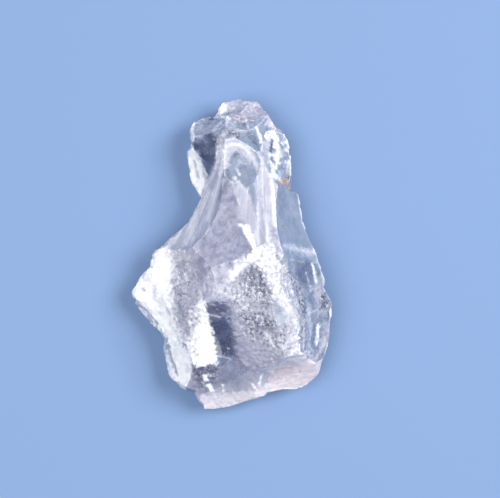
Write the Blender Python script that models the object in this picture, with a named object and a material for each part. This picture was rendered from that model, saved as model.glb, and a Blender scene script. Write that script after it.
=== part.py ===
"""A broken chunk of clear quartz, lying on its flattest face.

The chunk is one solid. A blank is built from the outline that the chunk shows from above, and hollow
flake scars are cut out of it, so that the ridges are the lines where two scars meet. Each scar is part
of a sphere that passes through three named ridge points. Sizes are in millimetres, turned to metres
where the meshes are made. The origin is under the middle of the chunk, on the surface it rests on.
"""
import random
from dataclasses import dataclass

import bmesh
import bpy
from mathutils import Matrix, Vector

MM = 0.001

# Blank
ROOF_HEIGHT = 19.2
ROOF_INSET = 0.30
FLOOR_INSET = 0.16
SPINE = [(1.2, 25.0), (1.0, 12.0), (1.5, -2.0), (1.0, -16.0)]
RIM_SMOOTHING_PASSES = 2

# The rim, anticlockwise from the left of the neck: a height for each stretch, and its outline points
RIM = [
    (6.0, [(-6.2, 11.2), (-6.7, 10.2), (-7.7, 8.2), (-8.8, 6.5), (-10.2, 4.9), (-11.1, 4.2)]),
    (6.4, [(-13.5, 2.2), (-14.1, 1.4), (-15.1, 0.9), (-16.2, -0.6), (-16.4, -2.5)]),
    (5.2, [(-17.2, -3.0), (-18.1, -4.0), (-19.2, -6.2), (-20.2, -7.5), (-19.5, -9.3)]),
    (4.4, [(-18.2, -11.8), (-17.9, -13.0), (-17.4, -13.8), (-16.1, -14.4), (-14.2, -15.8)]),
    (5.4, [(-13.5, -17.2), (-13.5, -17.9), (-14.1, -20.1), (-13.4, -21.6), (-12.7, -24.0)]),
    (5.2, [(-12.1, -25.0), (-11.1, -26.2), (-9.2, -27.4), (-7.5, -27.8)]),
    (4.2, [(-6.0, -30.4), (-5.4, -31.2), (-2.9, -31.2), (-1.2, -31.0), (2.1, -30.0)]),
    (4.8, [(5.0, -29.2), (6.6, -28.6), (7.2, -27.9), (10.4, -27.2), (13.8, -27.2)]),
    (5.6, [(15.0, -26.8), (16.0, -26.0), (16.8, -25.0), (17.6, -23.8), (18.6, -20.8)]),
    (6.6, [(19.6, -17.8), (19.8, -15.6), (19.8, -13.6), (20.3, -11.4), (20.2, -10.0)]),
    (7.6, [(19.2, -7.8), (18.4, -6.6), (18.8, -5.4), (17.4, -1.0), (16.8, 0.7), (15.6, 2.9)]),
    (7.4, [(14.8, 5.5), (14.2, 7.1), (13.6, 10.9), (13.4, 12.2), (11.8, 13.0)]),
    (6.6, [(12.2, 14.9), (12.1, 17.9), (11.9, 20.5), (11.2, 22.9), (10.6, 24.1), (10.0, 24.8)]),
    (6.4, [(9.2, 25.2), (8.6, 25.9), (7.9, 27.2), (7.5, 28.1), (6.6, 28.8), (6.0, 29.6)]),
    (6.2, [(5.2, 30.6), (3.2, 30.7), (1.8, 31.3), (0.1, 30.7), (-1.7, 30.4), (-2.1, 29.7)]),
    (5.8, [(-2.7, 29.2), (-3.4, 27.5), (-4.7, 27.6), (-6.7, 27.2), (-7.5, 27.0), (-8.2, 25.5)]),
    (4.8, [(-8.5, 24.7), (-8.1, 22.5), (-8.2, 21.5), (-9.0, 20.6), (-8.8, 19.9), (-8.5, 16.9)]),
    (4.8, [(-8.1, 15.2), (-7.8, 14.1), (-7.1, 13.1)]),
]

# Ridge points
POINTS = {
    # head
    "arch_top": (0.8, 22.9, 12.7),
    "arch_left": (-2.1, 18.8, 12.3),
    "arch_right": (5.0, 18.6, 13.0),
    "arch_deep_top": (1.2, 20.4, 12.1),
    "arch_deep_left": (0.2, 15.6, 12.4),
    "arch_deep_right": (4.9, 15.4, 13.5),
    "window_head_top": (-2.9, 24.4, 11.6),
    "window_head_foot": (-4.7, 15.0, 10.0),
    "window_head_left": (-7.4, 20.6, 8.0),
    "window_head_corner": (-7.5, 23.6, 8.2),
    "head_left_edge": (-7.9, 15.0, 5.2),
    "head_left_corner": (-8.2, 25.6, 5.6),
    "shelf_edge": (-3.0, 27.4, 8.8),
    "cap_left": (-1.0, 27.2, 10.6),
    "cap_middle": (3.0, 26.2, 11.6),
    "cap_right": (6.8, 25.8, 10.8),
    "cap_left_edge": (-2.2, 30.0, 6.2),
    "cap_edge": (1.8, 31.0, 6.6),
    "shoulder": (6.6, 21.0, 12.6),
    "lobe_inner": (7.8, 16.0, 13.2),
    "lobe_edge": (12.0, 20.5, 7.0),
    # left ridge and valley
    "neck_edge": (-6.3, 11.4, 7.2),
    "waist_edge": (-9.0, 6.4, 6.4),
    "left_ridge_top": (-2.1, 16.8, 12.6),
    "left_ridge_low": (-5.2, 4.0, 12.8),
    "valley_apex": (-0.8, 16.2, 12.8),
    "valley_low": (4.6, 0.0, 17.6),
    # bundle of ridges and right flank
    "bundle_inner": (5.2, 9.0, 15.3),
    "bundle_inner_low": (7.0, 2.6, 17.7),
    "bundle_top": (6.5, 18.5, 13.4),
    "bundle_low": (8.4, 2.2, 17.9),
    "bundle_outer": (8.8, 9.5, 15.2),
    "bundle_outer_low": (10.2, 0.8, 17.9),
    "step_edge": (13.4, 12.0, 7.6),
    "flank_edge": (18.7, -5.4, 8.2),
    "flank_low_edge": (19.4, -18.4, 6.8),
    "corner_edge": (16.8, -25.0, 5.6),
    # crest and middle
    "crest": (10.9, -4.0, 18.4),
    "crest_low": (13.9, -12.4, 17.6),
    "crest_foot": (13.8, -19.4, 15.0),
    "band_left": (10.5, -18.0, 16.0),
    "streak_end": (-4.8, -8.6, 14.7),
    "facet_top": (8.3, -9.0, 18.2),
    "facet_foot": (9.2, -14.0, 17.4),
    "facet_right": (12.0, -11.5, 18.1),
    # left wing
    "left_top": (-9.0, 0.0, 11.8),
    "left_low": (-6.5, -8.6, 13.6),
    "wing_ridge_top": (-12.4, 1.0, 9.2),
    "wing_ridge": (-12.0, -4.6, 10.2),
    "wing_ridge_low": (-11.4, -10.0, 10.8),
    "wing_edge": (-20.0, -7.6, 5.2),
    "wing_low_edge": (-17.2, -13.8, 5.4),
    "wing_bevel_top": (-19.2, -8.6, 6.2),
    "wing_bevel_low": (-14.6, -13.4, 7.2),
    "wing_bevel_edge": (-18.2, -12.4, 3.8),
    # lower part
    "window_top": (-4.6, -11.6, 13.5),
    "window_foot": (-2.6, -21.4, 12.2),
    "window_right": (0.8, -16.5, 14.1),
    "window_right_top": (0.4, -9.0, 15.6),
    "low_left_ridge": (-9.2, -17.0, 10.9),
    "low_left_foot": (-8.0, -22.0, 10.0),
    "low_left_edge": (-12.0, -25.0, 5.6),
    "centre_low": (7.0, -22.6, 13.8),
    "lip_left": (-6.6, -28.2, 7.0),
    "lip_right": (6.0, -28.2, 7.2),
    "lip_edge": (-3.0, -31.0, 4.4),
    # underside: corners of the resting face, then points on the lower edges
    "rest_neck": (7.0, 8.0, 0.0),
    "rest_neck_left": (-3.0, 8.0, 0.0),
    "rest_left_top": (-8.0, 2.0, 0.0),
    "rest_left": (-9.0, -12.0, 0.0),
    "rest_low_left": (-6.0, -22.0, 0.0),
    "rest_low_right": (9.0, -22.0, 0.0),
    "rest_right": (14.0, -14.0, 0.0),
    "rest_right_top": (12.0, 2.0, 0.0),
    "under_cap": (1.0, 29.5, 4.6),
    "under_head_left": (-7.6, 19.0, 3.8),
    "under_head_mid_left": (-4.0, 14.0, 1.0),
    "under_head_top_left": (-4.5, 24.0, 3.4),
    "under_head_right": (11.0, 18.0, 5.4),
    "under_head_mid_right": (8.0, 12.0, 0.9),
    "under_head_top_right": (6.0, 24.0, 3.5),
    "under_waist": (-8.2, 7.6, 5.2),
    "under_wing": (-18.8, -7.4, 4.6),
    "under_low_left": (-12.8, -21.0, 4.6),
    "under_lip": (-2.0, -30.2, 3.4),
    "under_corner": (16.2, -24.4, 4.8),
    "under_flank": (18.0, -5.6, 6.0),
    "under_step": (13.2, 10.6, 6.0),
}


@dataclass(frozen=True)
class Scar:
    """A hollow scar: a sphere through three ridge points, on the outer side of them."""

    name: str
    through: tuple
    radius: float
    outward: float = 1.0


TOP_SCARS = [
    Scar("head_window", ("window_head_top", "window_head_foot", "window_head_left"), 20.0),
    Scar("head_left_rim", ("window_head_left", "window_head_foot", "head_left_edge"), 9.0),
    Scar("head_shelf", ("window_head_corner", "window_head_top", "head_left_corner"), 14.0),
    Scar("cap_left", ("shelf_edge", "cap_left", "cap_left_edge"), 14.0),
    Scar("cap", ("cap_left", "cap_right", "cap_edge"), 20.0),
    Scar("above_arch", ("arch_top", "cap_middle", "window_head_top"), 16.0),
    Scar("shoulder", ("arch_top", "shoulder", "cap_right"), 20.0),
    Scar("arch", ("arch_top", "arch_left", "arch_right"), 12.0),
    Scar("arch_deep", ("arch_deep_top", "arch_deep_left", "arch_deep_right"), 8.0),
    Scar("right_lobe", ("cap_right", "lobe_inner", "lobe_edge"), 20.0),
    Scar("neck", ("left_ridge_top", "left_ridge_low", "neck_edge"), 16.0),
    Scar("waist", ("left_ridge_low", "wing_ridge_top", "waist_edge"), 16.0),
    Scar("valley", ("valley_apex", "left_ridge_low", "valley_low"), 60.0),
    Scar("valley_strip", ("valley_apex", "valley_low", "bundle_inner"), 60.0),
    Scar("bundle_inner", ("bundle_inner", "bundle_top", "bundle_low"), 46.0),
    Scar("bundle_outer", ("bundle_top", "bundle_low", "bundle_outer"), 46.0),
    Scar("flank_top", ("bundle_outer", "bundle_outer_low", "step_edge"), 28.0),
    Scar("flank", ("crest", "crest_low", "flank_edge"), 24.0),
    Scar("crest_band", ("bundle_inner_low", "crest", "facet_top"), 60.0),
    Scar("crest_band_low", ("crest_low", "crest_foot", "band_left"), 20.0),
    Scar("speckled_triangle", ("valley_low", "facet_top", "streak_end"), 40.0),
    Scar("middle", ("window_right_top", "window_right", "facet_foot"), 40.0),
    Scar("middle_low", ("window_foot", "facet_foot", "centre_low"), 40.0),
    Scar("small_facet", ("facet_top", "facet_foot", "facet_right"), 10.0),
    Scar("window", ("window_top", "window_foot", "window_right"), 20.0),
    Scar("bright_facet", ("window_top", "window_foot", "low_left_ridge"), 20.0),
    Scar("left_mottled", ("left_top", "wing_ridge", "left_low"), 24.0),
    Scar("wing", ("wing_ridge_top", "wing_ridge_low", "wing_edge"), 40.0),
    Scar("wing_low", ("wing_ridge_low", "low_left_ridge", "wing_low_edge"), 24.0),
    Scar("wing_bevel", ("wing_bevel_top", "wing_bevel_low", "wing_bevel_edge"), 30.0),
    Scar("low_left", ("low_left_ridge", "low_left_foot", "low_left_edge"), 24.0),
    Scar("low_centre", ("window_foot", "centre_low", "lip_left"), 40.0),
    Scar("lip", ("lip_left", "lip_right", "lip_edge"), 60.0),
    Scar("low_right", ("centre_low", "crest_foot", "corner_edge"), 30.0),
    Scar("flank_low", ("crest_low", "crest_foot", "flank_low_edge"), 24.0),
]

UNDER_SCARS = [
    Scar("under_head", ("rest_neck_left", "rest_neck", "under_cap"), 60.0, -1.0),
    Scar("under_head_left", ("under_head_mid_left", "under_head_top_left", "under_head_left"), 20.0, -1.0),
    Scar("under_head_right", ("under_head_mid_right", "under_head_top_right", "under_head_right"), 24.0, -1.0),
    Scar("under_waist", ("rest_neck_left", "rest_left_top", "under_waist"), 9.0, -1.0),
    Scar("under_wing", ("rest_left_top", "rest_left", "under_wing"), 40.0, -1.0),
    Scar("under_low_left", ("rest_left", "rest_low_left", "under_low_left"), 30.0, -1.0),
    Scar("under_lip", ("rest_low_left", "rest_low_right", "under_lip"), 30.0, -1.0),
    Scar("under_corner", ("rest_low_right", "rest_right", "under_corner"), 26.0, -1.0),
    Scar("under_flank", ("rest_right", "rest_right_top", "under_flank"), 40.0, -1.0),
    Scar("under_step", ("rest_right_top", "rest_neck", "under_step"), 30.0, -1.0),
]

# Small hollows on the ridges: x, y, radius, depth
TOP_HOLLOWS = [
    (-1.0, 28.6, 4.0, 0.5),
    (1.6, 29.6, 4.5, 0.6),
    (4.6, 29.0, 4.0, 0.6),
    (2.2, 26.8, 5.0, 0.5),
    (5.6, 27.0, 4.0, 0.5),
    (-5.4, 26.4, 5.0, 0.4),
    (-3.0, 24.8, 4.0, 0.4),
    (6.2, 21.0, 8.0, 0.3),
    (9.8, 23.6, 9.0, 0.4),
    (10.8, 17.4, 12.0, 0.4),
    (10.9, -1.6, 8.0, 0.4),
    (12.2, -8.0, 7.0, 0.3),
    (14.1, -15.5, 9.0, 0.4),
    (18.4, -9.6, 4.0, 0.4),
    (-12.0, -2.0, 8.0, 0.4),
    (-11.3, -9.8, 6.0, 0.4),
    (-14.6, -10.4, 7.0, 0.3),
    (-9.0, -15.0, 8.0, 0.4),
    (-4.6, -5.6, 7.0, 0.3),
    (-0.6, -22.2, 9.0, 0.4),
    (7.0, -22.8, 7.0, 0.4),
    (6.4, -25.6, 9.0, 0.5),
    (12.6, -24.0, 14.0, 0.4),
    (15.8, -20.8, 8.0, 0.4),
]
UNDER_HOLLOWS = [
    (-8.8, -4.0, 12.0, 0.4),
    (13.2, -8.0, 14.0, 0.4),
    (2.0, -22.6, 14.0, 0.5),
    (2.0, 8.6, 16.0, 0.4),
    (-3.8, 19.0, 14.0, 0.4),
    (6.8, 18.0, 14.0, 0.4),
    (-7.4, -18.0, 12.0, 0.4),
    (12.0, -18.6, 10.0, 0.4),
    (-10.6, -1.0, 10.0, 0.3),
]

# Chips along the rim
CHIP_SEED = 11
CHIP_EVERY = 3
CHIP_RADIUS = (1.6, 3.2)
CHIP_DEPTH = (0.15, 0.4)

# Cutter meshes: the length of a facet's edge, and its growth with the radius
FACET_EDGE = 1.3
FACET_EDGE_GROWTH = 0.052
CAP_REACH = 30.0


def shrink_to_spine(x, y, share):
    """Moves an outline point towards its nearest point on the spine by a share of the distance."""
    point = Vector((x, y))
    best = None
    for start, end in zip(SPINE, SPINE[1:]):
        a = Vector(start)
        along = Vector(end) - a
        t = max(0.0, min(1.0, (point - a).dot(along) / along.length_squared))
        foot = a + along * t
        if best is None or (point - foot).length < (point - best).length:
            best = foot
    return point.lerp(best, share)


def rim_points():
    """The rim as x, y, z points, with the heights of its stretches run into each other."""
    outline = []
    heights = []
    for height, stretch in RIM:
        for point in stretch:
            outline.append(point)
            heights.append(height)
    count = len(heights)
    for _ in range(RIM_SMOOTHING_PASSES):
        heights = [(heights[i - 1] + heights[i] + heights[(i + 1) % count]) / 3 for i in range(count)]
    return [(x, y, z) for (x, y), z in zip(outline, heights)]


def make_blank(collection, material):
    """The blank: the rim drawn in a little up to the roof and down to the floor."""
    bm = bmesh.new()
    rim = [bm.verts.new(Vector(point) * MM) for point in rim_points()]
    ring = [bm.edges.new((rim[i - 1], rim[i])) for i in range(len(rim))]
    for inset, height in ((ROOF_INSET, ROOF_HEIGHT), (FLOOR_INSET, 0.0)):
        made = bmesh.ops.extrude_edge_only(bm, edges=ring)["geom"]
        for vert in (item for item in made if isinstance(item, bmesh.types.BMVert)):
            plan = shrink_to_spine(vert.co.x / MM, vert.co.y / MM, inset)
            vert.co = Vector((plan.x, plan.y, height)) * MM
        edges = [item for item in made if isinstance(item, bmesh.types.BMEdge)]
        loop = [edge for edge in edges if all(abs(v.co.z - height * MM) < 1e-7 for v in edge.verts)]
        bmesh.ops.edgeloop_fill(bm, edges=loop)
    bmesh.ops.triangulate(bm, faces=bm.faces[:])
    bmesh.ops.recalc_face_normals(bm, faces=bm.faces[:])
    mesh = bpy.data.meshes.new("clear_quartz")
    bm.to_mesh(mesh)
    bm.free()
    mesh.materials.append(material)
    blank = bpy.data.objects.new("clear_quartz", mesh)
    collection.objects.link(blank)
    return blank


def sphere_through(scar):
    """The centre and outward axis of a scar's sphere, in millimetres."""
    a, b, c = (Vector(POINTS[name]) for name in scar.through)
    ab = b - a
    ac = c - a
    normal = ab.cross(ac)
    to_centre = (normal.cross(ab) * ac.length_squared + ac.cross(normal) * ab.length_squared)
    to_centre /= 2 * normal.length_squared
    axis = normal.normalized()
    if axis.z * scar.outward < 0:
        axis.negate()
    rise = (scar.radius ** 2 - to_centre.length_squared) ** 0.5
    return a + to_centre + axis * rise, axis


def facet_divisions(radius):
    """The icosphere subdivisions that give facets of about the wanted size."""
    edge = 1.05 * radius
    divisions = 1
    while edge > FACET_EDGE + FACET_EDGE_GROWTH * radius:
        edge /= 2
        divisions += 1
    return divisions


def make_cutter(name, centre, axis, radius, collection):
    """A sphere that cuts a hollow; of a large one only the cap that meets the chunk is kept."""
    bm = bmesh.new()
    turn = axis.to_track_quat("Z", "X").to_matrix().to_4x4()
    bmesh.ops.create_icosphere(bm, subdivisions=facet_divisions(radius), radius=radius * MM, matrix=turn)
    if radius > CAP_REACH:
        height = (radius ** 2 - CAP_REACH ** 2) ** 0.5
        geometry = bm.verts[:] + bm.edges[:] + bm.faces[:]
        cut = bmesh.ops.bisect_plane(bm, geom=geometry, plane_co=axis * -height * MM, plane_no=axis,
                                     clear_outer=True)["geom_cut"]
        bmesh.ops.edgeloop_fill(bm, edges=[item for item in cut if isinstance(item, bmesh.types.BMEdge)])
        bmesh.ops.triangulate(bm, faces=[face for face in bm.faces if len(face.verts) > 3])
    bmesh.ops.recalc_face_normals(bm, faces=bm.faces[:])
    bmesh.ops.transform(bm, matrix=Matrix.Translation(centre * MM), verts=bm.verts[:])
    mesh = bpy.data.meshes.new(name)
    bm.to_mesh(mesh)
    bm.free()
    cutter = bpy.data.objects.new(name, mesh)
    cutter.hide_render = True
    cutter.display_type = "WIRE"
    collection.objects.link(cutter)
    return cutter


def cut_away(blank, cutter):
    """Cuts one hollow out of the chunk."""
    modifier = blank.modifiers.new(cutter.name, "BOOLEAN")
    modifier.operation = "DIFFERENCE"
    modifier.solver = "EXACT"
    modifier.object = cutter


def scar_cutters(collection):
    """One cutter for each scar of the top and of the underside."""
    cutters = []
    for scar in TOP_SCARS + UNDER_SCARS:
        centre, axis = sphere_through(scar)
        cutters.append(make_cutter("scar_" + scar.name, centre, axis, scar.radius, collection))
    return cutters


def surface_at(x, y, scars):
    """The point where a place in the plan meets these scars, and the mean axis of the two deepest."""
    found = []
    for scar in scars:
        centre, _ = sphere_through(scar)
        rise_squared = scar.radius ** 2 - (x - centre.x) ** 2 - (y - centre.y) ** 2
        if rise_squared > 0:
            point = Vector((x, y, centre.z - scar.outward * rise_squared ** 0.5))
            found.append((point.z * scar.outward, point, (centre - point).normalized()))
    found.sort(key=lambda entry: entry[0])
    return found[0][1], (found[0][2] + found[1][2]).normalized()


def hollow_cutters(collection):
    """Small hollows that bite the ridges of the top and of the underside."""
    cutters = []
    for side, scars, hollows in (("top", TOP_SCARS, TOP_HOLLOWS), ("under", UNDER_SCARS, UNDER_HOLLOWS)):
        for number, (x, y, radius, depth) in enumerate(hollows):
            point, axis = surface_at(x, y, scars)
            centre = point + axis * (radius - depth)
            cutters.append(make_cutter(f"hollow_{side}_{number}", centre, axis, radius, collection))
    return cutters


def chip_cutters(collection):
    """Chips that nibble the rim from outside, a different size and depth each."""
    draw = random.Random(CHIP_SEED)
    rim = [Vector(point) for point in rim_points()]
    cutters = []
    for i in range(0, len(rim), CHIP_EVERY):
        before = rim[i] - rim[i - 1]
        after = rim[(i + 1) % len(rim)] - rim[i]
        if before.cross(after).z < 0:
            continue
        outward = (before + after).normalized().cross(Vector((0, 0, 1)))
        outward = (outward + Vector((0, 0, draw.uniform(0.4, 1.0)))).normalized()
        radius = draw.uniform(*CHIP_RADIUS)
        centre = rim[i] + outward * (radius - draw.uniform(*CHIP_DEPTH))
        cutters.append(make_cutter(f"chip_{i}", centre, outward, radius, collection))
    return cutters


def quartz_material():
    """Colourless quartz with a faint cold tint."""
    material = bpy.data.materials.new("clear_quartz")
    material.use_nodes = True
    shader = material.node_tree.nodes["Principled BSDF"]
    shader.inputs["Base Color"].default_value = (0.84, 0.86, 0.92, 1.0)
    shader.inputs["Roughness"].default_value = 0.12
    shader.inputs["Metallic"].default_value = 0.0
    shader.inputs["IOR"].default_value = 1.544
    shader.inputs["Transmission Weight"].default_value = 0.85
    return material


def new_collection(name):
    """A collection linked to the scene."""
    collection = bpy.data.collections.new(name)
    bpy.context.scene.collection.children.link(collection)
    return collection


def main():
    for item in list(bpy.data.objects):
        bpy.data.objects.remove(item, do_unlink=True)
    chunk = new_collection("clear_quartz")
    cutters = new_collection("cutters")
    blank = make_blank(chunk, quartz_material())
    for cutter in scar_cutters(cutters) + hollow_cutters(cutters) + chip_cutters(cutters):
        cut_away(blank, cutter)


main()
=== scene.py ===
"""A broken chunk of clear quartz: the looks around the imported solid.

The chunk is one piece. Its mesh starts as a copy of the solid, is refined, gets the relief of its
fracture faces, and tells the one quartz material how clear, frosted, tinted and flecked it is.
Lengths in the tables are in millimetres, and turned to metres where meshes are made.
"""

import logging
import math
from dataclasses import dataclass
from enum import Enum

import bmesh
import bpy
import numpy as np
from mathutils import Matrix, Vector, kdtree, noise


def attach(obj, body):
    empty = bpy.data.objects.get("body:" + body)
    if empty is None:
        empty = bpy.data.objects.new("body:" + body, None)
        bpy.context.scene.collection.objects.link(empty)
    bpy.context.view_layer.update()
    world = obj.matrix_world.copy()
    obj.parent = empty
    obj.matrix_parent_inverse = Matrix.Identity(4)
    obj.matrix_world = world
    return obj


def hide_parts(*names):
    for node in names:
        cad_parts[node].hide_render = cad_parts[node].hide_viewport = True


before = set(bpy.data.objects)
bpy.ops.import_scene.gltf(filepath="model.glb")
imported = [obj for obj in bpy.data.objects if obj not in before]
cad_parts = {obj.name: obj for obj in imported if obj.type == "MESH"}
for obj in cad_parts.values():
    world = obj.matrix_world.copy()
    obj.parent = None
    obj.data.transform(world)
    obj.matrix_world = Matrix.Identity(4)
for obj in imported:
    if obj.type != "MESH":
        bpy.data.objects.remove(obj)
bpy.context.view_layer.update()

LOG = logging.getLogger("clear_quartz")
MM = 0.001
GRAIN_ROUGHNESS = 0.6
CLOUD_SHIFT = np.array((5.37, 2.71, 8.13))
CLOUD_CONTRAST = 1.5
# Falloff, step in scale and octaves of the fractal noises
CLOUD_NOISE = (0.7, 2.17, 4)
RELIEF_NOISE = (0.8, 2.17, 3)
Point2 = tuple[float, float]
Point3 = tuple[float, float, float]
Colour = tuple[float, float, float]


class Trait(Enum):
    """What the mesh tells the quartz's material, by the name of the attribute."""

    TONE = "tone"
    CLEARNESS = "clearness"
    FROST = "frost"
    FLECKS = "flecks"
    FLOW = "flow"


@dataclass(frozen=True)
class Wash:
    """A tint of the quartz's skin, how clear and how frosted it is, and how strongly it is flecked."""

    tone: Colour
    clearness: float
    frost: float
    flecks: float = 0.0

    def row(self) -> np.ndarray:
        """Lists the wash's values: three for the tone, then clearness, frost and flecks."""
        return np.array((*self.tone, self.clearness, self.frost, self.flecks))


CHALK = Wash((0.99, 0.99, 1.0), 0.03, 0.4)
SNOW = Wash((0.88, 0.88, 0.95), 0.18, 0.6, 0.15)
PEARL = Wash((0.70, 0.70, 0.82), 0.40, 0.7, 0.1)
DOVE = Wash((0.59, 0.59, 0.74), 0.45, 0.75)
LILAC = Wash((0.42, 0.43, 0.58), 0.50, 0.75)
# Painted shade: a dark, clear wash laid where shadow is seen through the clear body
DUSK = Wash((0.19, 0.20, 0.30), 0.75, 0.4, 0.3)
SALT = Wash((0.61, 0.61, 0.71), 0.40, 0.65, 0.65)
# Painted shade: a dark, flecked wash for shadow seen through clear specks
PEPPER = Wash((0.28, 0.29, 0.39), 0.50, 0.55, 1.0)
BEIGE = Wash((0.88, 0.80, 0.83), 0.20, 0.7, 0.1)
ROSE = Wash((0.76, 0.66, 0.70), 0.25, 0.8, 0.15)
BLUSH = Wash((0.81, 0.72, 0.76), 0.10, 0.6)
RUST = Wash((0.60, 0.33, 0.15), 0.20, 0.8, 0.3)
WATER = Wash((0.98, 0.99, 1.0), 1.0, 0.1)
MIST = Wash((0.33, 0.43, 0.57), 0.45, 0.35)
GLASS = Wash((0.81, 0.87, 0.96), 0.65, 0.2)
COLD_GLASS = Wash((0.59, 0.67, 0.83), 0.62, 0.2)
# Partly painted shade: a darker grey-blue tint of the clear glass for shadow seen through it, partly the
# glass's cool tint
SLATE_GLASS = Wash((0.39, 0.46, 0.65), 0.65, 0.15)
# Painted shade: a dark, clear wash for the shadowed floor seen through the clear body
GLASS_OVER_SHADOW = Wash((0.17, 0.20, 0.33), 0.78, 0.1)


@dataclass(frozen=True)
class Ink:
    """Builds a material's nodes around its Principled shader."""

    material: bpy.types.Material

    @property
    def shader(self) -> bpy.types.Node:
        """The Principled shader."""
        return self.material.node_tree.nodes["Principled BSDF"]

    def add(self, kind: str, **values: object) -> bpy.types.Node:
        """Adds a node.

        Args:
            kind: the node's type name.
            values: settings and input values, by name, with underscores for spaces.

        Returns:
            The new node.
        """
        node = self.material.node_tree.nodes.new(kind)
        for name, value in values.items():
            socket = node.inputs.get(name.replace("_", " "))
            if socket is not None:
                socket.default_value = value
            else:
                setattr(node, name, value)
        return node

    def join(self, source: bpy.types.NodeSocket, target: bpy.types.NodeSocket) -> None:
        """Links one socket to another."""
        self.material.node_tree.links.new(source, target)

    def read(self, trait: Trait, output: str = "Fac") -> bpy.types.NodeSocket:
        """Reads a trait from the mesh.

        Args:
            trait: the trait.
            output: the attribute node's output: Fac, Color or Vector.

        Returns:
            The trait's socket.
        """
        return self.add("ShaderNodeAttribute", attribute_name=trait.value).outputs[output]

    def grain(self, size: float, detail: float) -> bpy.types.NodeSocket:
        """Noise along the flow of the fracture faces.

        Args:
            size: the size of the grain, in millimetres.
            detail: the number of finer octaves.

        Returns:
            The noise's value socket, from 0 to 1.
        """
        cloud = self.add("ShaderNodeTexNoise", Scale=1.0 / (size * MM), Detail=detail,
                         Roughness=GRAIN_ROUGHNESS)
        self.join(self.read(Trait.FLOW, "Vector"), cloud.inputs["Vector"])
        return cloud.outputs["Fac"]

    def times(self, first: bpy.types.NodeSocket, second: bpy.types.NodeSocket) -> bpy.types.NodeSocket:
        """Multiplies two values and keeps the result between 0 and 1.

        Args:
            first: a value.
            second: another value.

        Returns:
            The product's socket.
        """
        product = self.add("ShaderNodeMath", operation="MULTIPLY", use_clamp=True)
        self.join(first, product.inputs[0])
        self.join(second, product.inputs[1])
        return product.outputs[0]

    def spread(self, value: bpy.types.NodeSocket, low: float, high: float,
               middle: tuple[float, float] = (0.3, 0.7)) -> bpy.types.NodeSocket:
        """Spreads the middle of a noise over a range.

        Args:
            value: a noise value, from 0 to 1.
            low: the result where the noise is low.
            high: the result where the noise is high.
            middle: the stretch of the noise that is spread.

        Returns:
            The spread value's socket.
        """
        ramp = self.add("ShaderNodeMapRange")
        for socket, number in zip(list(ramp.inputs)[1:5], (*middle, low, high)):
            socket.default_value = number
        self.join(value, ramp.inputs["Value"])
        return ramp.outputs["Result"]

    def lay(self, base: bpy.types.NodeSocket, share: bpy.types.NodeSocket,
            colour: Colour) -> bpy.types.NodeSocket:
        """Lays a colour over another.

        Args:
            base: the colour below.
            share: how much of it is covered, from 0 to 1.
            colour: the colour above.

        Returns:
            The mixed colour's socket.
        """
        mix = self.add("ShaderNodeMix", data_type="RGBA")
        under, over = [socket for socket in mix.inputs if socket.type == "RGBA"]
        self.join(share, mix.inputs[0])
        self.join(base, under)
        over.default_value = (*colour, 1.0)
        return [socket for socket in mix.outputs if socket.type == "RGBA"][0]


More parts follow.
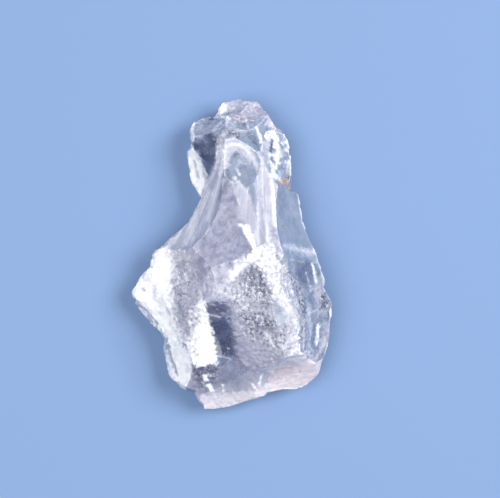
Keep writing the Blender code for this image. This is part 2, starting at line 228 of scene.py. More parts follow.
@dataclass(frozen=True)
class QuartzFinish:
    """The quartz: its refraction, its faint absorption, and the grain of its frost and flecks; the pale
    flecks are partly painted glints, the dark flecks painted shade.
    """

    ior: float = 1.544
    absorbed: Colour = (0.79, 0.84, 0.94)
    absorption: float = 22.0
    fleck_grain: tuple[float, float] = (0.70, 0.62)
    fleck_edge: tuple[float, float] = (0.54, 0.58)
    fleck_gap: tuple[float, float] = (0.41, 0.45)
    # Pale flecks: partly painted glints; dark flecks: painted shade seen through the clear body
    pale_fleck: Colour = (0.95, 0.95, 0.98)
    dark_fleck: Colour = (0.10, 0.11, 0.18)
    mottle_grain: float = 0.9
    mottle_edge: tuple[float, float] = (0.44, 0.62)
    mottle_share: float = 0.30
    dark_mottle: Colour = (0.30, 0.31, 0.42)
    veil_grain: float = 2.2
    veil: tuple[float, float] = (0.88, 1.20)
    frost_grain: float = 0.5
    frosting: tuple[float, float] = (0.30, 0.66)
    bump_grain: float = 0.38
    bump_height: float = 0.06
    fleck_detail: float = 2.0
    soft_detail: float = 3.0
    fine_detail: float = 4.0

    def material(self) -> bpy.types.Material:
        """Makes the material, which reads the mesh's traits.

        Returns:
            A material with one Principled shader and one absorption.
        """
        material = bpy.data.materials.new("clear_quartz")
        material.use_nodes = True
        ink = Ink(material)
        shader = ink.shader
        shader.inputs["IOR"].default_value = self.ior
        pale_grain, dark_grain = [ink.grain(size, self.fleck_detail) for size in self.fleck_grain]
        flecks = ink.read(Trait.FLECKS)
        # Flecks: pale ones partly painted glints, dark ones painted shade
        pale = ink.times(ink.spread(pale_grain, 0.0, 1.0, self.fleck_edge), flecks)
        dark = ink.times(ink.spread(dark_grain, 1.0, 0.0, self.fleck_gap), flecks)
        frost = ink.read(Trait.FROST)
        mottle = ink.grain(self.mottle_grain, self.fine_detail)
        shade = ink.times(ink.spread(mottle, 0.0, self.mottle_share, self.mottle_edge), frost)
        tone = ink.lay(ink.read(Trait.TONE, "Color"), shade, self.dark_mottle)
        tone = ink.lay(tone, pale, self.pale_fleck)
        ink.join(ink.lay(tone, dark, self.dark_fleck), shader.inputs["Base Color"])
        veil = ink.spread(ink.grain(self.veil_grain, self.soft_detail), *self.veil)
        ink.join(ink.times(ink.read(Trait.CLEARNESS), veil), shader.inputs["Transmission Weight"])
        gloss = ink.spread(ink.grain(self.frost_grain, self.soft_detail), *self.frosting)
        ink.join(ink.times(frost, gloss), shader.inputs["Roughness"])
        bump = ink.add("ShaderNodeBump", Distance=self.bump_height * MM)
        ink.join(ink.times(frost, frost), bump.inputs["Strength"])
        ink.join(ink.grain(self.bump_grain, self.fine_detail), bump.inputs["Height"])
        ink.join(bump.outputs["Normal"], shader.inputs["Normal"])
        depth = ink.add("ShaderNodeVolumeAbsorption", Color=(*self.absorbed, 1.0), Density=self.absorption)
        output = material.node_tree.nodes["Material Output"]
        ink.join(depth.outputs["Volume"], output.inputs["Volume"])
        return material


@dataclass(frozen=True)
class Look:
    """How a scar looks: two washes that drift into each other, the relief, and the way of its flow.

    The flow of a fanned scar runs away from the fan's point, as its fine ribs do.
    """

    dark: Wash
    pale: Wash
    cloud: float
    share: float
    relief: float
    relief_size: float
    fan: Point2 | None = None
    fan_reach: float = 12.0
    fan_stretch: float = 0.12

    def flow(self, places: np.ndarray) -> np.ndarray:
        """Turns places into places along the scar's flow.

        Args:
            places: places, in millimetres.

        Returns:
            The places along the flow, in millimetres.
        """
        if self.fan is None:
            return places
        away = places[:, :2] - np.array(self.fan)
        side = np.arctan2(away[:, 0], -away[:, 1]) * self.fan_reach
        run = np.linalg.norm(away, axis=1) * self.fan_stretch
        return np.stack((side, run, places[:, 2] * self.fan_stretch), axis=1)

    def coat(self, flow: np.ndarray) -> np.ndarray:
        """Mixes the two washes by cloudy noise.

        Args:
            flow: places along the flow, in millimetres.

        Returns:
            A row of wash values for each place.
        """
        level = [noise.fractal(Vector(place / self.cloud + CLOUD_SHIFT), *CLOUD_NOISE) for place in flow]
        mix = np.clip(0.5 + (np.array(level) + self.share - 0.5) * CLOUD_CONTRAST, 0.0, 1.0)[:, None]
        return self.dark.row() * (1 - mix) + self.pale.row() * mix

    def height(self, flow: np.ndarray) -> np.ndarray:
        """The relief along the flow.

        Args:
            flow: places along the flow, in millimetres.

        Returns:
            The height at each place, in millimetres.
        """
        level = [noise.fractal(Vector(place / self.relief_size), *RELIEF_NOISE) for place in flow]
        return np.array(level) * self.relief


SATIN = Look(LILAC, DOVE, 1.0, 0.60, 0.06, 1.0)
GRAINY = Look(LILAC, PEARL, 1.6, 0.55, 0.10, 0.6)
SNOWY = Look(SNOW, CHALK, 1.8, 0.75, 0.10, 1.1)
PATCHY = Look(DOVE, CHALK, 0.6, 0.52, 0.14, 0.9)
LUMPY = Look(LILAC, BEIGE, 0.5, 0.42, 0.18, 1.0)
SHELF = Look(MIST, PEARL, 0.7, 0.50, 0.15, 1.0)
SHARD = Look(COLD_GLASS, CHALK, 1.2, 0.55, 0.18, 1.3)
BAND = Look(PEARL, SNOW, 2.0, 0.55, 0.03, 1.4)
PALE_CLEAR = Look(MIST, COLD_GLASS, 3.0, 0.50, 0.03, 2.5)
# The flank's darker glass is partly painted shade seen through it
GLASSY = Look(SLATE_GLASS, GLASS, 3.0, 0.45, 0.04, 2.2)
# Painted shade: clear windows darkened where shadow is seen through them
SHADED_WINDOW = Look(GLASS_OVER_SHADOW, COLD_GLASS, 2.6, 0.50, 0.03, 2.5)
NECK = Look(PEARL, SNOW, 0.40, 0.45, 0.06, 0.5, (-0.6, 22.0), 12.0, 0.05)
BUNDLE = Look(PEARL, SNOW, 0.60, 0.50, 0.07, 0.6, (5.6, 36.0), 22.0, 0.05)
RIND = Look(BLUSH, BEIGE, 1.3, 0.45, 0.08, 1.3)
LIP = Look(BLUSH, SNOW, 1.2, 0.50, 0.08, 1.0)
GROUND = Look(WATER, PEARL, 3.6, 0.45, 0.05, 1.2)

# Ridge points of the solid, in millimetres
POINTS: dict[str, Point3] = {
    "arch_top": (0.8, 22.9, 12.7), "arch_left": (-2.1, 18.8, 12.3), "arch_right": (5.0, 18.6, 13.0),
    "arch_deep_top": (1.2, 20.4, 12.1), "arch_deep_left": (0.2, 15.6, 12.4),
    "arch_deep_right": (4.9, 15.4, 13.5), "window_head_top": (-2.9, 24.4, 11.6),
    "window_head_foot": (-4.7, 15.0, 10.0), "window_head_left": (-7.4, 20.6, 8.0),
    "window_head_corner": (-7.5, 23.6, 8.2), "head_left_edge": (-7.9, 15.0, 5.2),
    "head_left_corner": (-8.2, 25.6, 5.6), "shelf_edge": (-3.0, 27.4, 8.8), "cap_left": (-1.0, 27.2, 10.6),
    "cap_middle": (3.0, 26.2, 11.6), "cap_right": (6.8, 25.8, 10.8), "cap_left_edge": (-2.2, 30.0, 6.2),
    "cap_edge": (1.8, 31.0, 6.6), "shoulder": (6.6, 21.0, 12.6), "lobe_inner": (7.8, 16.0, 13.2),
    "lobe_edge": (12.0, 20.5, 7.0), "neck_edge": (-6.3, 11.4, 7.2), "waist_edge": (-9.0, 6.4, 6.4),
    "left_ridge_top": (-2.1, 16.8, 12.6), "left_ridge_low": (-5.2, 4.0, 12.8),
    "valley_apex": (-0.8, 16.2, 12.8), "valley_low": (4.6, 0.0, 17.6), "bundle_inner": (5.2, 9.0, 15.3),
    "bundle_inner_low": (7.0, 2.6, 17.7), "bundle_top": (6.5, 18.5, 13.4), "bundle_low": (8.4, 2.2, 17.9),
    "bundle_outer": (8.8, 9.5, 15.2), "bundle_outer_low": (10.2, 0.8, 17.9), "step_edge": (13.4, 12.0, 7.6),
    "flank_edge": (18.7, -5.4, 8.2), "flank_low_edge": (19.4, -18.4, 6.8), "corner_edge": (16.8, -25.0, 5.6),
    "crest": (10.9, -4.0, 18.4), "crest_low": (13.9, -12.4, 17.6), "crest_foot": (13.8, -19.4, 15.0),
    "band_left": (10.5, -18.0, 16.0), "streak_end": (-4.8, -8.6, 14.7), "facet_top": (8.3, -9.0, 18.2),
    "facet_foot": (9.2, -14.0, 17.4), "facet_right": (12.0, -11.5, 18.1), "left_top": (-9.0, 0.0, 11.8),
    "left_low": (-6.5, -8.6, 13.6), "wing_ridge_top": (-12.4, 1.0, 9.2), "wing_ridge": (-12.0, -4.6, 10.2),
    "wing_ridge_low": (-11.4, -10.0, 10.8), "wing_edge": (-20.0, -7.6, 5.2),
    "wing_low_edge": (-17.2, -13.8, 5.4), "wing_bevel_top": (-19.2, -8.6, 6.2),
    "wing_bevel_low": (-14.6, -13.4, 7.2), "wing_bevel_edge": (-18.2, -12.4, 3.8),
    "window_top": (-4.6, -11.6, 13.5), "window_foot": (-2.6, -21.4, 12.2), "window_right": (0.8, -16.5, 14.1),
    "window_right_top": (0.4, -9.0, 15.6), "low_left_ridge": (-9.2, -17.0, 10.9),
    "low_left_foot": (-8.0, -22.0, 10.0), "low_left_edge": (-12.0, -25.0, 5.6),
    "centre_low": (7.0, -22.6, 13.8), "lip_left": (-6.6, -28.2, 7.0), "lip_right": (6.0, -28.2, 7.2),
    "lip_edge": (-3.0, -31.0, 4.4), "rest_neck": (7.0, 8.0, 0.0), "rest_neck_left": (-3.0, 8.0, 0.0),
    "rest_left_top": (-8.0, 2.0, 0.0), "rest_left": (-9.0, -12.0, 0.0), "rest_low_left": (-6.0, -22.0, 0.0),
    "rest_low_right": (9.0, -22.0, 0.0), "rest_right": (14.0, -14.0, 0.0), "rest_right_top": (12.0, 2.0, 0.0),
    "under_cap": (1.0, 29.5, 4.6), "under_head_left": (-7.6, 19.0, 3.8),
    "under_head_mid_left": (-4.0, 14.0, 1.0), "under_head_top_left": (-4.5, 24.0, 3.4),
    "under_head_right": (11.0, 18.0, 5.4), "under_head_mid_right": (8.0, 12.0, 0.9),
    "under_head_top_right": (6.0, 24.0, 3.5), "under_waist": (-8.2, 7.6, 5.2),
    "under_wing": (-18.8, -7.4, 4.6), "under_low_left": (-12.8, -21.0, 4.6), "under_lip": (-2.0, -30.2, 3.4),
    "under_corner": (16.2, -24.4, 4.8), "under_flank": (18.0, -5.6, 6.0), "under_step": (13.2, 10.6, 6.0),
}


@dataclass(frozen=True)
class Scar:
    """A hollow scar of the solid: a sphere through three ridge points, and the look of its face."""

    through: tuple[str, str, str]
    radius: float
    look: Look
    outward: float = 1.0

    def centre(self) -> Vector:
        """Finds the sphere's centre.

        Returns:
            The centre, in millimetres.
        """
        a, b, c = (Vector(POINTS[name]) for name in self.through)
        ab = b - a
        ac = c - a
        normal = ab.cross(ac)
        to_centre = normal.cross(ab) * ac.length_squared + ac.cross(normal) * ab.length_squared
        to_centre /= 2 * normal.length_squared
        axis = normal.normalized()
        if axis.z * self.outward < 0:
            axis.negate()
        return a + to_centre + axis * (self.radius ** 2 - to_centre.length_squared) ** 0.5


SCARS: dict[str, Scar] = {
    # The head window's dark tone is painted shade seen through it
    "head_window": Scar(("window_head_top", "window_head_foot", "window_head_left"), 20.0, SHADED_WINDOW),
    "head_left_rim": Scar(("window_head_left", "window_head_foot", "head_left_edge"), 9.0, SNOWY),
    "head_shelf": Scar(("window_head_corner", "window_head_top", "head_left_corner"), 14.0, SHELF),
    "cap_left": Scar(("shelf_edge", "cap_left", "cap_left_edge"), 14.0, SNOWY),
    "cap": Scar(("cap_left", "cap_right", "cap_edge"), 20.0, LUMPY),
    "above_arch": Scar(("arch_top", "cap_middle", "window_head_top"), 16.0, SHELF),
    "shoulder": Scar(("arch_top", "shoulder", "cap_right"), 20.0, PALE_CLEAR),
    "arch": Scar(("arch_top", "arch_left", "arch_right"), 12.0, BAND),
    "arch_deep": Scar(("arch_deep_top", "arch_deep_left", "arch_deep_right"), 8.0, PALE_CLEAR),
    "right_lobe": Scar(("cap_right", "lobe_inner", "lobe_edge"), 20.0, SHARD),
    "neck": Scar(("left_ridge_top", "left_ridge_low", "neck_edge"), 16.0, NECK),
    "waist": Scar(("left_ridge_low", "wing_ridge_top", "waist_edge"), 16.0, NECK),
    "valley": Scar(("valley_apex", "left_ridge_low", "valley_low"), 60.0, SATIN),
    "valley_strip": Scar(("valley_apex", "valley_low", "bundle_inner"), 60.0, BUNDLE),
    "bundle_inner": Scar(("bundle_inner", "bundle_top", "bundle_low"), 46.0, BUNDLE),
    "bundle_outer": Scar(("bundle_top", "bundle_low", "bundle_outer"), 46.0, BUNDLE),
    "flank_top": Scar(("bundle_outer", "bundle_outer_low", "step_edge"), 28.0, PALE_CLEAR),
    "flank": Scar(("crest", "crest_low", "flank_edge"), 24.0, GLASSY),
    "crest_band": Scar(("bundle_inner_low", "crest", "facet_top"), 60.0, PATCHY),
    "crest_band_low": Scar(("crest_low", "crest_foot", "band_left"), 20.0, PATCHY),
    "speckled_triangle": Scar(("valley_low", "facet_top", "streak_end"), 40.0, GRAINY),
    "middle": Scar(("window_right_top", "window_right", "facet_foot"), 40.0, GRAINY),
    "middle_low": Scar(("window_foot", "facet_foot", "centre_low"), 40.0, GRAINY),
    "small_facet": Scar(("facet_top", "facet_foot", "facet_right"), 10.0, BAND),
    # The window's dark tone is painted shade seen through it
    "window": Scar(("window_top", "window_foot", "window_right"), 20.0, SHADED_WINDOW),
    # Its white is painted reflection of the light
    "bright_facet": Scar(("window_top", "window_foot", "low_left_ridge"), 20.0, SNOWY),
    "left_mottled": Scar(("left_top", "wing_ridge", "left_low"), 24.0, GRAINY),
    "wing": Scar(("wing_ridge_top", "wing_ridge_low", "wing_edge"), 40.0, SNOWY),
    "wing_low": Scar(("wing_ridge_low", "low_left_ridge", "wing_low_edge"), 24.0, SNOWY),
    "wing_bevel": Scar(("wing_bevel_top", "wing_bevel_low", "wing_bevel_edge"), 30.0, SHARD),
    "low_left": Scar(("low_left_ridge", "low_left_foot", "low_left_edge"), 24.0, SNOWY),
    "low_centre": Scar(("window_foot", "centre_low", "lip_left"), 40.0, SATIN),
    "lip": Scar(("lip_left", "lip_right", "lip_edge"), 60.0, LIP),
    "low_right": Scar(("centre_low", "crest_foot", "corner_edge"), 30.0, RIND),
    "flank_low": Scar(("crest_low", "crest_foot", "flank_low_edge"), 24.0, GLASSY),
    "under_head": Scar(("rest_neck_left", "rest_neck", "under_cap"), 60.0, GROUND, -1.0),
    "under_head_left": Scar(("under_head_mid_left", "under_head_top_left", "under_head_left"), 20.0,
                            GROUND, -1.0),
    "under_head_right": Scar(("under_head_mid_right", "under_head_top_right", "under_head_right"), 24.0,
                             GROUND, -1.0),
    "under_waist": Scar(("rest_neck_left", "rest_left_top", "under_waist"), 9.0, GROUND, -1.0),
    "under_wing": Scar(("rest_left_top", "rest_left", "under_wing"), 40.0, GROUND, -1.0),
    "under_low_left": Scar(("rest_left", "rest_low_left", "under_low_left"), 30.0, GROUND, -1.0),
    "under_lip": Scar(("rest_low_left", "rest_low_right", "under_lip"), 30.0, GROUND, -1.0),
    "under_corner": Scar(("rest_low_right", "rest_right", "under_corner"), 26.0, GROUND, -1.0),
    "under_flank": Scar(("rest_right", "rest_right_top", "under_flank"), 40.0, GROUND, -1.0),
    "under_step": Scar(("rest_right_top", "rest_neck", "under_step"), 30.0, GROUND, -1.0),
}


@dataclass(frozen=True)
class Mark:
    """One wash on the top: a streak along a line in the plan, or a patch inside a line of no width."""

    wash: Wash
    line: tuple[Point2, ...]
    width: float = 0.0
    soft: float = 0.35
    ragged: float = 0.3
    strength: float = 1.0

    @property
    def closed(self) -> bool:
        """Whether the mark is a patch."""
        return not self.width

    def cover(self, places: np.ndarray, raggedness: np.ndarray) -> np.ndarray:
        """How much of the mark lies on each place.

        Args:
            places: places, in millimetres.
            raggedness: a noise value for each place.

        Returns:
            The cover at each place, from 0 to 1.
        """
        ends = self.line[1:] + self.line[:1] if self.closed else self.line[1:]
        away = np.full(len(places), np.inf)
        inside = np.zeros(len(places), bool)
        x, y = places[:, 0], places[:, 1]
        for start, end in zip(self.line, ends):
            along = np.array(end) - np.array(start)
            step = places[:, :2] - np.array(start)
            part = np.clip(step @ along / (along @ along), 0.0, 1.0)
            away = np.minimum(away, np.linalg.norm(step - part[:, None] * along, axis=1))
            if self.closed and along[1]:
                crossing = start[0] + (y - start[1]) * along[0] / along[1]
                inside ^= ((start[1] > y) != (end[1] > y)) & (x < crossing)
        away = np.where(inside, -away, away) - self.width + raggedness * self.ragged
        return np.clip(0.5 - away / self.soft, 0.0, 1.0) * self.strength


MARKS: list[Mark] = [
    # head and cap
    Mark(CHALK, ((-7.9, 26.4), (-7.8, 24.8), (-7.8, 22.8)), 0.45),
    Mark(PEARL, ((-7.0, 24.5), (-5.0, 24.9), (-3.2, 24.6)), 0.35, 1.8, 1.2, 0.7),
    Mark(CHALK, ((-9.0, 20.9), (-7.6, 21.4), (-6.3, 17.4), (-5.2, 14.4), (-6.3, 11.6), (-7.8, 14.2),
                 (-8.5, 17.0))),
    Mark(PEARL, ((-7.4, 18.6), (-6.6, 15.4)), 0.25, strength=0.7),
    Mark(CHALK, ((-3.2, 27.5), (-0.7, 27.2)), 0.2),
    Mark(DOVE, ((-1.2, 31.4), (2.2, 31.6), (2.0, 28.0), (-0.4, 27.8), (-1.2, 28.6)), soft=0.7,
         ragged=0.6, strength=0.85),
    Mark(BEIGE, ((-0.4, 29.9), (0.8, 29.0)), 0.2, 0.8, 1.2, 0.7),
    Mark(CHALK, ((-3.1, 27.8), (-2.0, 30.2), (-1.0, 30.0), (-0.8, 28.4))),
    Mark(DOVE, ((1.8, 31.0), (5.4, 30.4), (7.2, 27.0), (4.2, 26.6), (2.0, 28.2)), soft=1.0,
         ragged=0.8, strength=0.5),
    # Painted shade on the shoulder
    Mark(DUSK, ((2.6, 24.2), (4.4, 22.8), (5.0, 21.4)), 0.4, 1.2, 1.4, 0.45),
    Mark(CHALK, ((3.0, 26.5), (3.4, 25.0)), 0.12),
    # Painted highlights on the shoulder
    Mark(CHALK, ((5.0, 25.0), (5.7, 23.6), (5.9, 22.2)), 0.3),
    Mark(CHALK, ((6.1, 21.4), (6.0, 20.4)), 0.2),
    Mark(PEARL, ((-2.4, 24.0), (-1.2, 24.0), (-1.4, 19.0), (-1.4, 16.6), (-3.8, 12.4), (-5.2, 14.0),
                 (-3.9, 17.2), (-2.9, 20.0), (-2.9, 22.6)), soft=0.5),
    # Painted shade seen through the head window
    Mark(GLASS_OVER_SHADOW, ((-6.9, 21.8), (-4.4, 22.4), (-3.0, 21.6), (-3.1, 19.0), (-3.6, 17.4), (-4.6, 15.2),
                      (-5.3, 16.4), (-5.9, 18.6)), soft=0.8, ragged=0.4, strength=0.85),
    Mark(CHALK, ((-6.2, 18.6), (-5.2, 16.4), (-4.7, 15.6)), 0.08, strength=0.9),
    Mark(CHALK, ((-2.9, 22.6), (-2.7, 21.0), (-2.9, 19.2)), 0.14, ragged=0.4, strength=0.8),
    Mark(CHALK, ((-1.9, 22.4), (-2.2, 19.4), (-3.4, 16.2), (-5.2, 13.2)), 0.12, strength=0.7),
    # arch
    Mark(BEIGE, ((-1.6, 23.8), (0.6, 24.4), (2.6, 24.2)), 0.5, 0.6, strength=0.4),
    Mark(COLD_GLASS, ((0.7, 20.7), (2.4, 19.6), (3.7, 17.8), (4.4, 15.4), (4.9, 11.0), (4.2, 9.6),
                      (3.4, 12.4), (0.6, 15.4), (-0.8, 16.4), (-0.3, 18.6)), soft=0.7,
         strength=0.8),
    Mark(PEARL, ((-2.2, 17.2), (-1.4, 21.4), (0.2, 22.6), (1.8, 22.4), (3.9, 21.0), (5.3, 19.0),
                 (5.8, 15.8), (5.2, 15.4), (4.1, 18.3), (2.4, 19.6), (0.9, 20.4), (0.0, 19.3),
                 (-0.8, 16.4)), ragged=0.1),
    Mark(SNOW, ((-1.3, 19.4), (-0.9, 21.1), (0.2, 21.8), (1.6, 21.6), (3.1, 20.6), (4.3, 19.2), (5.1, 17.4)),
         0.3, 0.5, 0.1, 0.85),
    # Painted shade along the inside of the arch
    Mark(DUSK, ((-0.2, 18.0), (0.3, 19.0), (0.9, 19.8), (2.3, 19.0), (3.7, 17.8), (4.3, 16.2)), 0.15, 1.0,
         0.3, 0.55),
    # Painted shade: dark speckle and a dark patch below the cap
    Mark(PEPPER, ((-0.8, 24.2), (1.4, 23.6)), 0.4, 0.7, 0.6, 0.9),
    Mark(DUSK, ((1.5, 26.3), (2.8, 25.7)), 0.3, 0.8, 1.0, 0.6),
    Mark(CHALK, ((1.1, 16.9), (1.8, 15.6)), 0.14),
    Mark(CHALK, ((0.9, 14.9), (1.7, 13.8)), 0.16),
    # right lobe
    Mark(PEARL, ((6.3, 22.4), (7.5, 23.2), (7.6, 19.0), (7.4, 15.0), (6.4, 15.4), (6.0, 19.0)),
         soft=0.7, strength=0.85),
    # Painted shade in the dark streaks of the right lobe, here and below
    Mark(DUSK, ((7.9, 25.0), (8.7, 24.9), (9.4, 24.2)), 0.22, 0.5, 0.3, 0.85),
    Mark(MIST, ((9.6, 18.2), (11.3, 17.8), (11.2, 14.9), (9.8, 15.0)), soft=1.0, ragged=0.8,
         strength=0.85),
    Mark(DUSK, ((8.1, 22.6), (7.9, 20.4)), 0.22),
    Mark(DUSK, ((8.0, 19.2), (8.2, 18.2)), 0.16),
    # Painted glints in the white streaks of the right lobe; the darker glass among them is partly painted
    # shade
    Mark(CHALK, ((8.0, 24.2), (9.4, 22.9)), 0.25),
    Mark(CHALK, ((8.8, 22.8), (9.4, 20.6), (9.0, 17.8)), 0.25),
    Mark(SLATE_GLASS, ((9.9, 22.0), (10.4, 19.6), (10.2, 17.0)), 0.4, 0.7, strength=0.7),
    Mark(CHALK, ((11.2, 23.2), (11.9, 20.0), (12.0, 16.0)), 0.22),
    Mark(RUST, ((9.4, 14.1), (10.8, 14.3), (11.6, 13.6)), 0.5, 0.8, 0.9, 0.8),
    # left ridge and valley
    Mark(DOVE, ((-0.8, 15.8), (-2.6, 12.0), (-3.6, 8.8), (-4.5, 5.4), (-3.0, 5.4), (-0.8, 10.0),
                (-0.4, 14.0)), soft=0.8, ragged=0.3, strength=0.8),
    # Painted shade in the valley
    Mark(DUSK, ((-0.8, 15.3), (-2.3, 12.4), (-2.6, 10.8), (-1.0, 12.2), (-0.2, 13.8)),
         soft=1.6, ragged=0.4, strength=0.45),
    Mark(SNOW, ((-1.2, 21.4), (-1.6, 18.6), (-2.0, 16.1), (-2.9, 12.8), (-3.7, 10.0), (-4.6, 6.6),
                (-5.2, 4.4)), 0.4, 0.6, 0.15, 0.9),
    # Painted shade along the slit and at the valley's top
    Mark(DUSK, ((-4.8, 6.2), (-5.3, 3.4), (-5.7, 1.0)), 0.1, 0.8, 0.2, 0.5),
    Mark(DUSK, ((-0.7, 16.6), (-0.4, 15.6)), 0.2, 0.5, strength=0.6),
    Mark(PEARL, ((0.3, 15.3), (2.4, 13.4), (3.9, 11.2), (4.8, 8.0), (4.9, 5.0), (1.8, 6.6), (1.4, 11.0),
                 (0.1, 13.9)), soft=0.6, ragged=0.2, strength=0.85),
    Mark(SNOW, ((0.4, 15.2), (2.3, 13.2), (3.8, 11.2)), 0.15, 0.5, strength=0.8),
    Mark(COLD_GLASS, ((2.0, 16.3), (4.5, 17.6), (5.0, 14.2), (5.3, 10.5), (4.8, 8.0), (4.0, 10.9),
                      (2.4, 13.8)), soft=0.6, strength=0.7),
    Mark(CHALK, ((1.6, 6.0), (3.5, 5.6), (5.4, 0.2), (4.9, 0.1))),
    # bundle
    Mark(DOVE, ((7.2, 14.5), (7.4, 9.0), (8.2, 3.0)), 0.5, 1.0, 0.5, 0.65),
    Mark(SNOW, ((6.4, 19.0), (6.2, 12.0), (6.6, 7.0), (7.4, 3.0)), 0.12, strength=0.8),
    Mark(SNOW, ((8.5, 14.2), (8.2, 9.0), (8.9, 4.6)), 0.1, strength=0.8),
    # middle
    Mark(SALT, ((-3.6, -6.6), (1.0, -4.0), (4.8, -1.6), (8.4, -8.4), (11.6, -13.0), (12.0, -19.6),
                (7.0, -21.4), (1.6, -20.6), (1.0, -14.0), (-0.6, -11.0), (-3.4, -9.0)),
         soft=2.4, ragged=1.2),
    Mark(CHALK, ((5.0, -0.4), (3.4, -0.6), (0.7, -1.8), (-0.5, -4.6), (0.2, -5.0), (2.2, -2.9)),
         soft=1.0, ragged=0.9, strength=0.8),
    Mark(PEARL, ((-0.6, -5.4), (-2.8, -6.8), (-4.6, -8.2)), 0.5, 1.6, strength=0.5),
    # Painted shade: the dark triangle, its dark lines and the dark speckle below
    Mark(PEPPER, ((4.7, -2.0), (7.8, -7.4), (6.0, -8.6), (3.2, -7.8), (1.6, -4.6)), soft=1.6,
         ragged=0.9),
    Mark(DUSK, ((4.9, -2.4), (6.6, -5.2), (7.4, -7.2)), 0.35, 0.7, 1.6, 0.8),
    Mark(DUSK, ((4.6, -2.2), (3.0, -3.6)), 0.15, 0.6, 1.0, 0.7),
    Mark(PEPPER, ((2.0, -12.0), (7.4, -12.0), (8.6, -15.0), (5.0, -15.6), (2.4, -15.2)),
         soft=2.0, ragged=1.2, strength=0.75),
    Mark(LILAC, ((0.8, -16.8), (3.6, -17.6), (8.6, -19.0), (12.2, -20.4), (8.0, -22.6), (-0.6, -22.4)),
         soft=2.4, ragged=1.0, strength=0.75),
    # Painted glints
    Mark(CHALK, ((2.4, -10.4), (3.4, -9.8)), 0.16, strength=0.7),
    Mark(CHALK, ((7.0, -15.4), (8.4, -17.8)), 0.25, 0.7, 0.8, 0.8),
    Mark(CHALK, ((9.6, -16.4), (10.4, -18.4)), 0.25, 0.7, 0.8, 0.6),
    # window
    Mark(LILAC, ((-5.0, -8.4), (-0.4, -8.6), (1.0, -11.9), (-4.2, -11.9)), soft=1.4,
         ragged=0.6),
    # Painted shade seen through the window
    Mark(GLASS_OVER_SHADOW, ((-4.4, -10.2), (-3.0, -9.0), (-1.0, -9.4), (-0.2, -12.2), (-4.6, -12.2)),
         soft=1.8, ragged=0.6, strength=0.8),
    Mark(LILAC, ((-4.2, -12.2), (1.2, -12.6), (2.6, -16.0), (2.2, -20.6), (-2.6, -20.6)),
         soft=2.2, ragged=0.8, strength=0.8),
    Mark(GLASS_OVER_SHADOW, ((-5.0, -12.2), (-0.2, -12.4), (0.6, -15.6), (0.9, -20.2), (-3.6, -20.4)),
         soft=1.5, ragged=0.5),
    # Partly painted shade at the window's foot
    Mark(SLATE_GLASS, ((-2.6, -20.6), (0.6, -20.8), (0.6, -21.8), (-2.4, -21.8)), soft=1.0,
         strength=0.8),
    # Painted reflection: the white of the bright facet beside the window
    Mark(CHALK, ((-5.9, -7.2), (-5.0, -9.8), (-4.7, -11.1), (-4.1, -13.4), (-3.1, -16.9), (-2.8, -21.0),
                 (-4.7, -21.9), (-7.6, -21.1), (-8.0, -16.9), (-6.9, -10.9)), soft=0.5,
         ragged=0.7, strength=0.9),
    Mark(SALT, ((-7.0, -10.4), (-7.6, -15.0), (-7.4, -19.6)), 0.8, 1.3, 2.2, 0.8),
    Mark(CHALK, ((-5.1, -11.7), (-3.4, -12.0), (-2.1, -12.3)), 0.1, 0.3, 0.05, 0.9),
    Mark(CHALK, ((-2.9, -20.0), (-1.4, -20.2), (0.0, -20.6)), 0.08, 0.3, 0.05, 0.8),
    # crest
    Mark(COLD_GLASS, ((8.3, -8.8), (11.9, -12.4), (9.2, -14.2)), soft=0.6, strength=0.8),
    Mark(SALT, ((9.4, -0.3), (11.9, -3.6), (14.2, -8.6), (15.0, -12.8), (14.4, -16.0), (12.8, -12.0),
                (12.0, -7.6), (9.8, -3.6)), soft=1.2, ragged=0.9),
    Mark(CHALK, ((5.3, -0.4), (7.2, 0.8), (9.2, -0.8), (11.4, -4.4), (13.2, -9.0), (14.0, -12.8),
                 (13.6, -20.0), (11.7, -20.2), (11.6, -14.8), (9.0, -8.6), (6.5, -4.5)),
         soft=1.2, ragged=3.2, strength=0.25),
    # Painted shade in the dark speckle of the crest
    Mark(PEPPER, ((13.2, -6.8), (14.2, -9.4), (14.4, -11.6)), 0.5, 0.7, 1.1, 0.95),
    Mark(PEPPER, ((9.2, -0.4), (11.4, -3.0), (13.0, -6.4)), 0.2, 0.5, 1.1, 0.85),
    Mark(LILAC, ((8.0, -2.2), (9.6, -4.8), (11.4, -8.0)), 0.3, 1.0, 1.6, 0.6),
    Mark(LILAC, ((8.6, 4.6), (8.9, 2.2), (9.6, 0.4), (10.8, -1.4)), 0.45, 1.0, 1.0, 0.7),
    # flank
    Mark(SNOW, ((10.6, 1.6), (13.4, 0.9), (16.2, 0.3)), 0.45, 1.0, 0.6, 0.7),
    # Painted shade seen through the flank
    Mark(GLASS_OVER_SHADOW, ((12.6, -1.0), (15.6, -1.6), (15.6, -6.0), (13.6, -6.4)), soft=1.4,
         strength=0.5),
    Mark(CHALK, ((16.1, -1.8), (16.9, -5.4)), 0.14),
    Mark(SNOW, ((14.8, -3.6), (15.8, -7.2)), 0.08, strength=0.7),
    Mark(CHALK, ((17.3, -14.0), (17.1, -16.4), (16.9, -18.0)), 0.28, 0.4),
    Mark(PEARL, ((16.0, -6.4), (18.4, -6.4), (19.6, -11.0), (17.4, -11.8)), soft=1.2,
         ragged=0.8, strength=0.8),
    # Painted shade in the dark speckle
    Mark(PEPPER, ((17.3, -7.4), (18.8, -8.0), (19.3, -10.8), (17.8, -11.0)), soft=0.7,
         ragged=0.6),
    Mark(SNOW, ((15.2, -10.6), (15.6, -15.0), (15.2, -19.0)), 0.2, 0.7, 0.5, 0.6),
    # Painted highlights along the right rim, which faces the lamp
    Mark(CHALK, ((13.5, 12.0), (13.9, 9.0), (14.4, 6.4), (16.0, 2.6), (17.2, -0.6), (18.4, -4.8),
